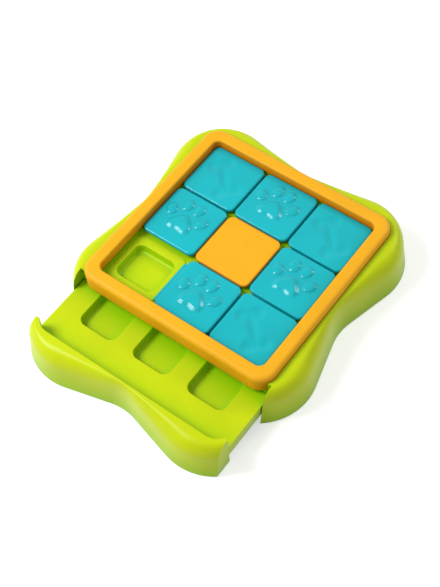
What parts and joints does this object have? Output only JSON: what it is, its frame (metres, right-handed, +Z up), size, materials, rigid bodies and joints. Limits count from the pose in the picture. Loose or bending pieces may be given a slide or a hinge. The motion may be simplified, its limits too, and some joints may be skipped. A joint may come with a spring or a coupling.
{
  "type": "dog puzzle feeder toy",
  "caption": "Square treat puzzle with sliding paw and bone tiles over treat wells inside a raised rim, in a wavy low casing with a pull-out treat drawer.",
  "frame": {"origin": "on the floor under the middle of the tile grid, at the underside of the centre foot", "axes": "+Z up, -Y the way the drawer opens, +X to the right seen from the drawer"},
  "size_m": [0.294, 0.365, 0.056],
  "materials": {
    "lime_plastic": "satin gloss",
    "orange_plastic": "satin gloss",
    "teal_plastic": "satin gloss",
    "foot_rubber": "matte",
    "screw_steel": "plain"
  },
  "bodies": {
    "base": {"casing": "lime_plastic", "bottom_plate": "lime_plastic", "foot_front_left": "foot_rubber", "foot_front_right": "foot_rubber", "foot_back_left": "foot_rubber", "foot_back_right": "foot_rubber", "foot_centre": "foot_rubber", "well_tray": "lime_plastic", "rim_frame": "orange_plastic", "centre_cap": "orange_plastic", "centre_screw": "screw_steel", "rim_screws": "screw_steel", "casing_screws": "screw_steel", "tile_paw_left": "teal_plastic", "tile_paw_back": "teal_plastic", "tile_paw_right": "teal_plastic", "tile_bone_back_left": "teal_plastic", "tile_bone_back_right": "teal_plastic"},
    "front_paw_tile": {"tile_paw_front": "teal_plastic"},
    "front_bone_tile": {"tile_bone_front_right": "teal_plastic"},
    "drawer": {"drawer_tray": "lime_plastic", "drawer_front": "lime_plastic", "drawer_screws": "screw_steel"}
  },
  "joints": [
    {"name": "drawer_slide", "type": "slide", "parent": "base", "child": "drawer", "axis": [0, -1, 0], "range_m": [-0.071, 0.081]},
    {"name": "front_row_slide", "type": "slide", "parent": "base", "child": "front_paw_tile", "axis": [-1, 0, 0], "range_m": [0, 0.07]},
    {"name": "front_bone_slide", "type": "slide", "parent": "base", "child": "front_bone_tile", "axis": [-1, 0, 0], "range_m": [0, 0.07]}
  ],
  "couplings": [
    {"joint": "front_bone_slide", "follows": "front_row_slide", "ratio": 1}
  ]
}
